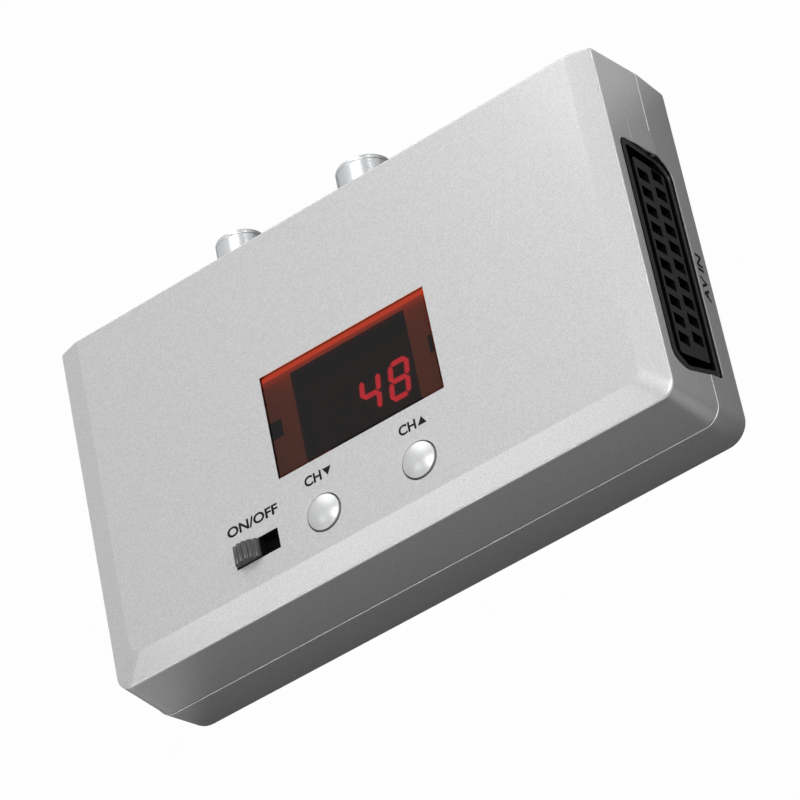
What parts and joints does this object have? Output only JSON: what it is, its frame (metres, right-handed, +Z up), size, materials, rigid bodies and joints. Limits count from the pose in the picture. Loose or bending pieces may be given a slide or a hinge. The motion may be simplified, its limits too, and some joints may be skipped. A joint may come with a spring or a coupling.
{
  "type": "rf modulator",
  "caption": "Flat two-part box with a wide AV socket on its side, two coaxial aerial connectors at the back, a display window, push buttons and a slide switch.",
  "frame": {"origin": "centre of the case's flat base", "axes": "+X to the side with the AV socket, +Y to the back with the aerial connectors, +Z up out of the top face"},
  "size_m": [0.1238, 0.0838, 0.0265],
  "materials": {
    "case_silver": "satin silver paint with a fine metallic grain",
    "window_red": "clear dark red acrylic, polished",
    "display_black": "dark olive black, semi-matt",
    "bar_lit": "lit red diffuser",
    "bar_dark": "unlit diffuser",
    "button_silver": "glossy silver, domed",
    "socket_black": "black moulded plastic, glossy",
    "switch_black": "black moulded plastic, satin",
    "chrome": "bright nickel plate",
    "tinned_steel": "tin plate",
    "gold_brass": "plated brass",
    "insulator_white": "white, satin",
    "board_green": "solder mask",
    "chip_black": "moulded epoxy",
    "coil_copper": "enamelled copper wire",
    "capacitor_blue": "shrink sleeve",
    "resistor_tan": "lacquer",
    "screw_steel": "zinc plate"
  },
  "bodies": {
    "case": {"top_shell": "case_silver", "bottom_shell": "case_silver", "display_window": "window_red", "display_block": "display_black", "lit_bars": "bar_lit", "dark_bars": "bar_dark", "av_housing": "socket_black", "inlet_body": "socket_black", "switch_body": "switch_black", "channel_up_key": "switch_black", "channel_down_key": "switch_black", "board_link_bar": "switch_black", "plug_sleeve": "chrome", "jack_sleeve": "chrome", "shield_can": "tinned_steel", "shield_lid": "tinned_steel", "av_contacts": "tinned_steel", "av_earth_strip": "tinned_steel", "display_pins": "tinned_steel", "switch_terminals": "tinned_steel", "inlet_pin": "tinned_steel", "regulator_tab": "tinned_steel", "crystal": "tinned_steel", "plug_pin": "gold_brass", "jack_tube": "gold_brass", "board_link_pins": "gold_brass", "plug_insulator": "insulator_white", "jack_insulator": "insulator_white", "control_board": "board_green", "main_board": "board_green", "modulator_chip": "chip_black", "controller_chip": "chip_black", "regulator": "chip_black", "tuning_coils": "coil_copper", "large_capacitor": "capacitor_blue", "small_capacitors": "capacitor_blue", "resistors": "resistor_tan", "case_screws": "screw_steel", "main_screws": "screw_steel", "control_screws": "screw_steel"},
    "channel_up": {"channel_up_button": "button_silver", "channel_up_plunger": "switch_black"},
    "channel_down": {"channel_down_button": "button_silver", "channel_down_plunger": "switch_black"},
    "power_switch": {"switch_knob": "switch_black"}
  },
  "joints": [
    {"name": "channel_up_press", "type": "slide", "parent": "case", "child": "channel_up", "axis": [0, 0, -1], "range_m": [0, 0.0006], "stiffness_N_per_m": 1500, "springref_m": -0.0002},
    {"name": "channel_down_press", "type": "slide", "parent": "case", "child": "channel_down", "axis": [0, 0, -1], "range_m": [0, 0.0006], "stiffness_N_per_m": 1500, "springref_m": -0.0002},
    {"name": "power_slide", "type": "slide", "parent": "case", "child": "power_switch", "axis": [1, 0, 0], "range_m": [0, 0.0037]}
  ]
}
